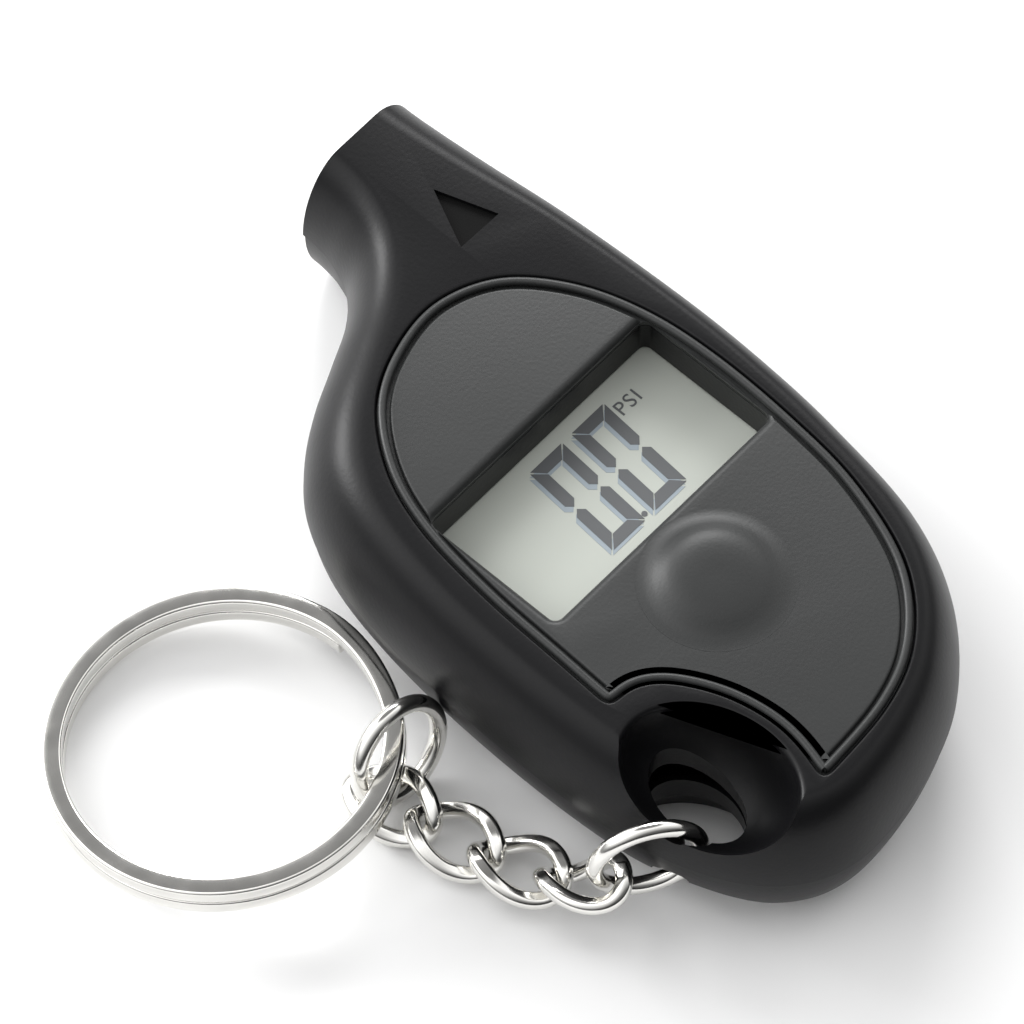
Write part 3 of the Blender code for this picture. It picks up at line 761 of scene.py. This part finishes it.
# ---- operators ---------------------------------------------------------------------------
class GAUGE_OT_front_shell(bpy.types.Operator):
    """Front half of the case, with its dish, panel recess, window and nozzle bore"""

    bl_idname = "gauge.front_shell"
    bl_label = "Front Shell"

    def execute(self, context):
        rim = context.scene.gauge_sizes.rim_round / MM
        low = SEAM_Z + SEAM_GAP / 2
        shell = skin(
            shoulder_rings(low, FACE_Z, 2, 0.0, ease=0.08), "front_shell_body", slice_y=NOZZLE_END_Y
        )
        core = skin(
            shoulder_rings(SEAM_Z, FACE_Z - WALL, 2, WALL, 6, CORE_WIDTH_SHARE, lead=SEAM_Z - 1),
            "core",
            slice_y=BORE_MIDDLE_Y,
        )
        x0, x1, y0, y1 = WINDOW
        wall = WINDOW_FRAME_WALL
        cut(
            core,
            dish_cutter("dish_wall", DISH_MIDDLE_Z, DISH_DEPTH, FACE_Z, 1, 0.0, grow=DISH_WALL),
            block("frame", (x0 - wall, y0 - wall, WINDOW_FRAME_Z), (x1 + wall, y1 + wall, FACE_Z)),
        )
        for spot in SCREWS:
            cut(core, upright("boss", spot, 8.0, BOSS_R, 30.0, 32))
        window = skin(
            [
                rounded_rectangle(WINDOW, WINDOW_CORNER, 0.0, h)
                for h in (WINDOW_FRAME_Z - 2, FACE_Z + 2)
            ],
            "window",
        )
        recess = skin(
            [panel_ring(0.1, 15.9)]
            + [panel_ring(0.1 + offset, height) for offset, height in flared(0.3, FACE_Z)]
            + [panel_ring(0.4, FACE_Z + 2)],
            "recess",
        )
        arrow = skin([[(x, y, h) for x, y in ARROW] for h in (FACE_Z - 0.5, FACE_Z + 2)], "arrow")
        cut(
            shell,
            core,
            dish_cutter("dish", DISH_MIDDLE_Z, DISH_DEPTH, FACE_Z, 1, rim),
            key_hole_cutter("hole"),
            ring_groove("groove"),
            recess,
            window,
            upright("button_room", BUTTON, 13.0, FLANGE_ROOM_R, 4.4),
            upright("button_hole", BUTTON, 16.0, BUTTON_HOLE_R, 8.0),
            arrow,
            nozzle_bore("bore"),
        )
        for spot in SCREWS:
            cut(shell, upright("pilot", spot, 10.0, PILOT_R, 5.2, 24))
        smooth(shell)
        dress(shell, shell_material())
        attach(shell, "case")
        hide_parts("front_shell")
        # Painted shade: a thin near-black, low-specular sheet on the floor of the arrow recess stands in
        # for the shade inside the recess.
        painted_shade = skin([[(x, y, h) for x, y in ARROW] for h in (FACE_Z - 0.52, FACE_Z - 0.42)], "arrow_painted_shade")
        recess_shade_paint = finish_material(
            "Arrow Painted Shade", (0.002, 0.002, 0.002), 0.6, grain=(2000.0, 0.1), Specular_IOR_Level=0.1
        )
        dress(painted_shade, recess_shade_paint)
        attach(painted_shade, "case")
        return {"FINISHED"}


class GAUGE_OT_back_shell(bpy.types.Operator):
    """Back half of the case, with its scoop and screw wells"""

    bl_idname = "gauge.back_shell"
    bl_label = "Back Shell"

    def execute(self, context):
        rim = context.scene.gauge_sizes.rim_round / MM
        high = SEAM_Z - SEAM_GAP / 2
        shell = skin(
            shoulder_rings(high, 0.0, 3, BACK_INSET, ease=0.1), "back_shell_body", slice_y=NOZZLE_END_Y
        )
        core = skin(
            shoulder_rings(
                SEAM_Z, WALL, 3, WALL + BACK_INSET, 6, CORE_WIDTH_SHARE, lead=SEAM_Z + 1
            ),
            "core",
            slice_y=BORE_MIDDLE_Y,
        )
        cut(core, dish_cutter("dish_wall", SCOOP_MIDDLE_Z, SCOOP_DEPTH, 0.0, -1, 0.0, grow=DISH_WALL))
        for spot in SCREWS:
            cut(core, upright("boss", spot, 8.0, BOSS_R, 30.0, 32))
        cut(
            shell,
            core,
            dish_cutter("dish", SCOOP_MIDDLE_Z, SCOOP_DEPTH, 0.0, -1, rim),
            key_hole_cutter("hole"),
            ring_groove("groove"),
            nozzle_bore("bore"),
        )
        for spot in SCREWS:
            cut(
                shell,
                upright("pilot", spot, 5.0, PILOT_R, 12.0, 24),
                upright("well", spot, 1.5, SCREW_WELL_R, 6.0, 48),
            )
        smooth(shell)
        dress(shell, shell_material())
        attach(shell, "case")
        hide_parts("back_shell")
        return {"FINISHED"}


class GAUGE_OT_panel(bpy.types.Operator):
    """Grey face panel with its raised line, window surround and button opening"""

    bl_idname = "gauge.panel"
    bl_label = "Face Panel"

    def execute(self, context):
        bead_r = context.scene.gauge_sizes.bead_radius / MM
        top = FACE_Z - 0.05
        edge = 0.3
        inset = -1.05
        rounded = [
            panel_ring(inset - edge * (1 - math.cos(a)), top - edge + edge * math.sin(a))
            for a in [math.pi / 2 * k / 5 for k in range(6)]
        ]
        panel = skin([panel_ring(inset, 16.1)] + rounded, "face_panel_plate")
        window = skin(
            [rounded_rectangle(WINDOW, WINDOW_CORNER, 0.0, 15.0)]
            + [rounded_rectangle(WINDOW, WINDOW_CORNER, o, h) for o, h in flared(0.75, top)]
            + [rounded_rectangle(WINDOW, WINDOW_CORNER, 0.75, 18.0)],
            "window",
        )
        cut(panel, window, upright("hole", BUTTON, 16.0, PANEL_HOLE_R, 6.0))
        bead_path = [Vector(p) for p in panel_ring(-0.42, FACE_Z - 0.12)]
        bead = wire("face_panel_bead", bead_path, bead_r, 14)
        base = skin([panel_ring(-0.02, 16.0), panel_ring(-0.02, 16.45)], "face_panel_base")
        cut(
            base,
            skin([rounded_rectangle(WINDOW, WINDOW_CORNER, 0.0, h) for h in (15.0, 18.0)], "window"),
            upright("hole", BUTTON, 16.0, PANEL_HOLE_R, 6.0),
        )
        for piece in (panel, bead, base):
            smooth(piece)
            dress(piece, panel_material())
            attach(piece, "case")
        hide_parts("face_panel")
        return {"FINISHED"}


class GAUGE_OT_button(bpy.types.Operator):
    """Soft button dome that blends into the panel, over a core that presses the switch"""

    bl_idname = "gauge.button"
    bl_label = "Button"

    lean: FloatProperty(
        name="Lean", description="How far the dome's crest leans to the display", default=0.34
    )

    def execute(self, context):
        rise = context.scene.gauge_sizes.dome_height / MM
        foot = FACE_Z - 0.05
        outer = [
            (0.0, 0.97), (1.2, 0.97), (2.3, 0.93), (3.2, 0.84), (4.0, 0.67), (4.7, 0.43), (5.3, 0.22),
            (5.9, 0.08), (6.4, 0.025), (6.7, 0.012),
        ]
        fine = []
        last = len(outer) - 1
        for i in range(last):
            around = [outer[max(0, min(last, i + k))] for k in (-1, 0, 1, 2)]
            fine += [spline_point(*around, t / 4) for t in range(4)]
        fine.append(outer[-1])
        fine[0] = (0.0, fine[0][1])
        profile = [(r, foot + rise * h) for r, h in fine]
        profile += [(6.7, foot - 0.04), (5.2, foot - 0.04), (4.0, foot + 0.3), (0.0, foot + 0.3)]
        dome = turned("button_dome", profile, Matrix.Translation((*BUTTON, 0.0)))
        for vertex in dome.data.vertices:
            if vertex.co.z > foot * MM:
                lean = (vertex.co.y / MM - BUTTON[1]) / 5.0
                lift = DOME_LIFT + self.lean * max(-1.0, min(1.0, lean))
                vertex.co.z = foot * MM + (vertex.co.z - foot * MM) * lift
        smooth(dome, 60)
        dress(dome, panel_material())
        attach(dome, "case")
        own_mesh(dome)
        core = turned(
            "button_core",
            [
                (0.0, 16.4), (5.0, 16.4), (5.2, 16.2), (5.2, 14.7), (6.7, 14.7), (6.7, 13.9),
                (1.7, 13.9), (1.7, 12.3), (0.0, 12.3),
            ],
            Matrix.Translation((*BUTTON, 0.0)),
            64,
        )
        smooth(core)
        dress(core, panel_material())
        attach(core, "button")
        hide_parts("button")
        return {"FINISHED"}


class GAUGE_OT_display(bpy.types.Operator):
    """Display glass with two seven-bar digits, a point and a unit mark"""

    bl_idname = "gauge.display"
    bl_label = "Display"

    def execute(self, context):
        stroke = context.scene.gauge_sizes.digit_stroke / MM
        glass_top = WINDOW_FRAME_Z - 0.3
        ink = finish_material(
            "Display Ink", (0.1, 0.105, 0.11), 0.5, grain=(1800.0, 0.05), wear=(300.0, 0.1)
        )
        # Painted shadow: this flat grey-blue colour stands in for the shadow the digits cast on the
        # display's back.
        shade = finish_material(
            "Display Painted Shadow", (0.3, 0.35, 0.39), 0.5, grain=(1800.0, 0.05), wear=(300.0, 0.1)
        )
        glass = finish_material(
            "Display Glass", colours().display, 0.3, grain=(700.0, 0.02), wear=(60.0, 0.05)
        )
        dress(frame["nodes"]["lcd_cell"], glass)
        bars = []
        for left in DIGIT_LEFTS:
            bars += self.digit(left, DIGIT_LOW, DIGIT_HIGH, stroke)
        self.bars("display_digits", bars, glass_top, 0.05, ink, DIGIT_SLANT, (0.0, 0.0))
        # Painted shadow of the digits: the same bars in the shadow colour, offset and laid under the ink
        # bars.
        self.bars("display_painted_shadow", bars, glass_top, 0.025, shade, DIGIT_SLANT, PAINTED_SHADOW_SHIFT)
        turns = [math.pi / 8 * k for k in range(16)]
        x, y = POINT_PLACE
        point = [[(x + POINT_R * math.cos(a), y + POINT_R * math.sin(a)) for a in turns]]
        self.bars("display_point", point, glass_top, 0.05, ink, 0.0, (0.0, 0.0))
        self.unit_mark(ink, glass_top)
        return {"FINISHED"}

    def digit(self, left, low, high, stroke):
        """Six mitred bars of a zero: outlines of points."""
        right = left + DIGIT_WIDTH
        middle = (low + high) / 2
        gap = 0.12
        half = stroke / 2
        bars = []
        for y, inward in ((low, 1), (high, -1)):
            inner = y + inward * stroke
            bars.append(
                [(left + gap, y), (right - gap, y), (right - stroke, inner), (left + stroke, inner)]
            )
        for x, inward in ((left, 1), (right, -1)):
            inner = x + inward * stroke
            for start, end in ((low, middle - 0.15), (high, middle + 0.15)):
                way = 1 if end > start else -1
                bars.append(
                    [
                        (x, start + way * gap),
                        (x, end - way * half),
                        (x + inward * half, end),
                        (inner, end - way * half),
                        (inner, start + way * (stroke + gap)),
                    ]
                )
        return bars

    def bars(self, name, outlines, base, thick, material, slant, shift):
        """Thin raised bars on the glass, leaning with the slant."""
        bm = bmesh.new()
        for outline in outlines:
            area = sum(
                a[0] * b[1] - b[0] * a[1] for a, b in zip(outline, outline[1:] + outline[:1])
            )
            points = outline if area > 0 else list(reversed(outline))
            rows = [
                [
                    bm.verts.new((x + shift[0] + (y - DIGIT_LOW) * slant, y + shift[1], base + h))
                    for x, y in points
                ]
                for h in (0.005, thick)
            ]
            count = len(points)
            for i in range(count):
                j = (i + 1) % count
                bm.faces.new((rows[0][i], rows[0][j], rows[1][j], rows[1][i]))
            bm.faces.new(list(reversed(rows[0])))
            bm.faces.new(rows[1])
        obj = from_bmesh(bm, name)
        dress(obj, material)
        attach(obj, "case")

    def unit_mark(self, material, base):
        """The generic unit beside the digits, as a mesh."""
        deselect()
        bpy.ops.object.text_add()
        text = bpy.context.view_layer.objects.active
        text.name = "display_unit"
        text.data.body = "PSI"
        text.data.size = UNIT_HEIGHT * MM
        text.data.space_character = 1.15
        text.data.extrude = 0.02 * MM
        only(text)
        bpy.ops.object.convert(target="MESH")
        mark = bpy.context.view_layer.objects.active
        place = Vector((*UNIT_PLACE, base + 0.03)) * MM
        mark.data.transform(Matrix.Translation(place))
        dress(mark, material)
        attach(mark, "case")


class GAUGE_OT_chain(bpy.types.Operator):
    """Ring through the key hole, four curb links and the ring on the split ring"""

    bl_idname = "gauge.chain"
    bl_label = "Chain"

    def execute(self, context):
        pieces = [("body_ring", ring_points(*BODY_RING, JUMP_R), None)]
        for number, (centre, *angles) in enumerate(LINKS, 1):
            axes = link_axes(*angles)
            points = curb_link_points(centre, *axes)
            pieces.append((f"chain_link_{number}", points, (axes[2].normalized(), 0.8)))
        pieces.append(("jump_ring", ring_points(*JUMP_RING, JUMP_R), None))
        for node, points, flat in pieces:
            link = wire(node + "_wire", points, WIRE_R, 24, flat)
            smooth(link, 60)
            dress(link, plating_material())
            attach(link, node)
            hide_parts(node)
        return {"FINISHED"}


class GAUGE_OT_split_ring(bpy.types.Operator):
    """Split key ring wound almost twice from flat wire with eased edges"""

    bl_idname = "gauge.split_ring"
    bl_label = "Split Ring"

    def execute(self, context):
        axis = Vector(SPLIT_AXIS).normalized()
        across = Vector((1, 0, 0)) - axis * axis.x
        across.normalize()
        up = axis.cross(across)
        level = (SPLIT_WIRE_H + SPLIT_COIL_GAP) / 2
        section = []
        half = SPLIT_WIRE_H / 2
        for r, h, away, rise in (
            (SPLIT_R[1], half, 1, 1),
            (SPLIT_R[0], half, -1, 1),
            (SPLIT_R[0], -half, -1, -1),
            (SPLIT_R[1], -half, 1, -1),
        ):
            corner = []
            for k in range(5):
                angle = math.pi / 2 * k / 4
                corner.append(
                    (
                        r - away * SPLIT_EASE * (1 - math.cos(angle)),
                        h - rise * SPLIT_EASE * (1 - math.sin(angle)),
                    )
                )
            section += corner if away * rise > 0 else list(reversed(corner))
        rings = []
        steps = 220
        count = int(SPLIT_TURNS * steps)
        for i in range(count + 1):
            turn = i / steps
            share = min(1.0, max(0.0, (turn - SPLIT_STEP_START) / SPLIT_STEP_LENGTH))
            height = level * (1 - 2 * share * share * (3 - 2 * share))
            angle = SPLIT_START - 2 * math.pi * turn
            outward = math.cos(angle) * across + math.sin(angle) * up
            rings.append(
                [Vector(SPLIT_CENTRE) + r * outward + (height + h) * axis for r, h in section]
            )
        ring = skin(rings, "split_ring_wire")
        smooth(ring, 40)
        dress(ring, plating_material())
        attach(ring, "split_ring")
        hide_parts("split_ring")
        return {"FINISHED"}


class GAUGE_OT_inner_parts(bpy.types.Operator):
    """Finishes for the parts inside the case and the screws"""

    bl_idname = "gauge.inner_parts"
    bl_label = "Inner Parts"

    def execute(self, context):
        rubber = finish_material("Rubber", (0.02, 0.02, 0.02), 0.8, grain=(2000.0, 0.3))
        board = finish_material("Circuit Board", (0.02, 0.14, 0.06), 0.45, grain=(900.0, 0.1))
        epoxy = finish_material("Epoxy", (0.01, 0.01, 0.01), 0.3, grain=(500.0, 0.1))
        black = finish_material("Switch Plastic", (0.03, 0.03, 0.032), 0.5, grain=(2000.0, 0.2))
        steel = finish_material("Steel", (0.55, 0.55, 0.55), 0.28, 1.0, (1500.0, 0.08), (300.0, 0.2))
        brass = finish_material("Brass", (0.7, 0.48, 0.2), 0.28, 1.0, (1200.0, 0.08), (300.0, 0.2))
        finishes = {
            rubber: ("zebra_strip", "lcd_pad", "sensor_sleeve", "valve_seal"),
            board: ("circuit_board",),
            epoxy: ("controller_blob",),
            black: ("switch_body", "switch_plunger", "pressure_sensor"),
            steel: ("coin_cell", "case_screw_1", "case_screw_2", "case_screw_3"),
            brass: ("valve_chuck", "depressor_pin", "positive_contact", "negative_contact"),
        }
        for material, names in finishes.items():
            for name in names:
                for slot in frame["nodes"][name].material_slots:
                    slot.material = material
        return {"FINISHED"}


class GAUGE_OT_stage(bpy.types.Operator):
    """Pale floor, soft studio lights and the camera"""

    bl_idname = "gauge.stage"
    bl_label = "Stage"

    def execute(self, context):
        deselect()
        bpy.ops.mesh.primitive_plane_add(size=3.0, location=(0, 0, -0.00005))
        floor = bpy.context.view_layer.objects.active
        floor.name = "floor"
        dress(floor, finish_material("Floor", (0.9, 0.9, 0.9), 0.9, grain=(300.0, 0.02), wear=(5.0, 0.01)))
        world = bpy.data.worlds.new("Studio")
        context.scene.world = world
        world.use_nodes = True
        self.light_room(world.node_tree)
        for name, place, power in LAMPS:
            data = bpy.data.lights.new(name, "AREA")
            data.size = LAMP_SIZE
            data.energy = power
            lamp = bpy.data.objects.new(name, data)
            context.scene.collection.objects.link(lamp)
            lamp.location = place
            lamp.rotation_euler = (-Vector(place)).to_track_quat("-Z", "Y").to_euler()
        camera_data = bpy.data.cameras.new("Camera")
        camera_data.lens = CAMERA_LENS
        camera_data.clip_end = 20.0
        camera = bpy.data.objects.new("Camera", camera_data)
        context.scene.collection.objects.link(camera)
        aim = Vector(CAMERA_AIM)
        camera.location = aim + Vector(CAMERA_WAY)
        camera.rotation_euler = (aim - camera.location).to_track_quat("-Z", "Y").to_euler()
        context.scene.camera = camera
        context.scene.view_settings.view_transform = "Standard"
        return {"FINISHED"}

    def light_room(self, tree):
        """A bright ceiling over dim walls, with a dim card above and behind the gauge."""
        nodes, links = tree.nodes, tree.links
        background = nodes["Background"]
        way = nodes.new("ShaderNodeTexCoord")

        def facing(direction):
            node = nodes.new("ShaderNodeVectorMath")
            node.operation = "DOT_PRODUCT"
            node.inputs[1].default_value = direction
            links.new(way.outputs["Generated"], node.inputs[0])
            return node.outputs["Value"]

        def ramp(value, limits, kind):
            node = nodes.new("ShaderNodeMapRange")
            node.interpolation_type = kind
            links.new(value, node.inputs["Value"])
            for key, limit in zip(("From Min", "From Max", "To Min", "To Max"), limits):
                node.inputs[key].default_value = limit
            return node.outputs["Result"]

        def product(first, second):
            node = sum_node(nodes, "MULTIPLY")
            links.new(first, node.inputs[0])
            links.new(second, node.inputs[1])
            return node.outputs[0]

        ceiling = ramp(facing((0.0, 0.0, 1.0)), (0.1, 0.6, 0.22, 1.4), "SMOOTHSTEP")
        wall = ramp(facing((0.25, 0.97, 0.0)), (-0.8, 0.8, 0.12, 2.1), "LINEAR")
        card = ramp(facing((0.37, 0.34, 0.865)), (0.86, 0.95, 1.0, 0.12), "SMOOTHSTEP")
        links.new(product(product(ceiling, wall), card), background.inputs["Strength"])
        background.inputs["Color"].default_value = (1.0, 1.0, 1.0, 1.0)


STEPS = (
    GAUGE_OT_front_shell,
    GAUGE_OT_back_shell,
    GAUGE_OT_panel,
    GAUGE_OT_button,
    GAUGE_OT_display,
    GAUGE_OT_chain,
    GAUGE_OT_split_ring,
    GAUGE_OT_inner_parts,
    GAUGE_OT_stage,
)


class GAUGE_PT_panel(bpy.types.Panel):
    """Lists the gauge's pieces"""

    bl_label = "Tyre Pressure Gauge"
    bl_idname = "GAUGE_PT_panel"
    bl_space_type = "VIEW_3D"
    bl_region_type = "UI"
    bl_category = "Gauge"

    def draw(self, context):
        for group in (context.scene.gauge_sizes, context.scene.gauge_colours):
            for key in group.bl_rna.properties.keys():
                if key not in {"rna_type", "name"}:
                    self.layout.prop(group, key)
        for step in STEPS:
            self.layout.operator(step.bl_idname)


CLASSES = (GaugeSizes, GaugeColours, *STEPS, GAUGE_PT_panel)


def register():
    for cls in CLASSES:
        bpy.utils.register_class(cls)
    bpy.types.Scene.gauge_sizes = PointerProperty(type=GaugeSizes)
    bpy.types.Scene.gauge_colours = PointerProperty(type=GaugeColours)


def unregister():
    del bpy.types.Scene.gauge_colours
    del bpy.types.Scene.gauge_sizes
    for cls in reversed(CLASSES):
        bpy.utils.unregister_class(cls)


def main():
    """Build every piece in order."""
    register()
    for step in STEPS:
        group, name = step.bl_idname.split(".")
        getattr(getattr(bpy.ops, group), name)()


if __name__ == "__main__":
    main()
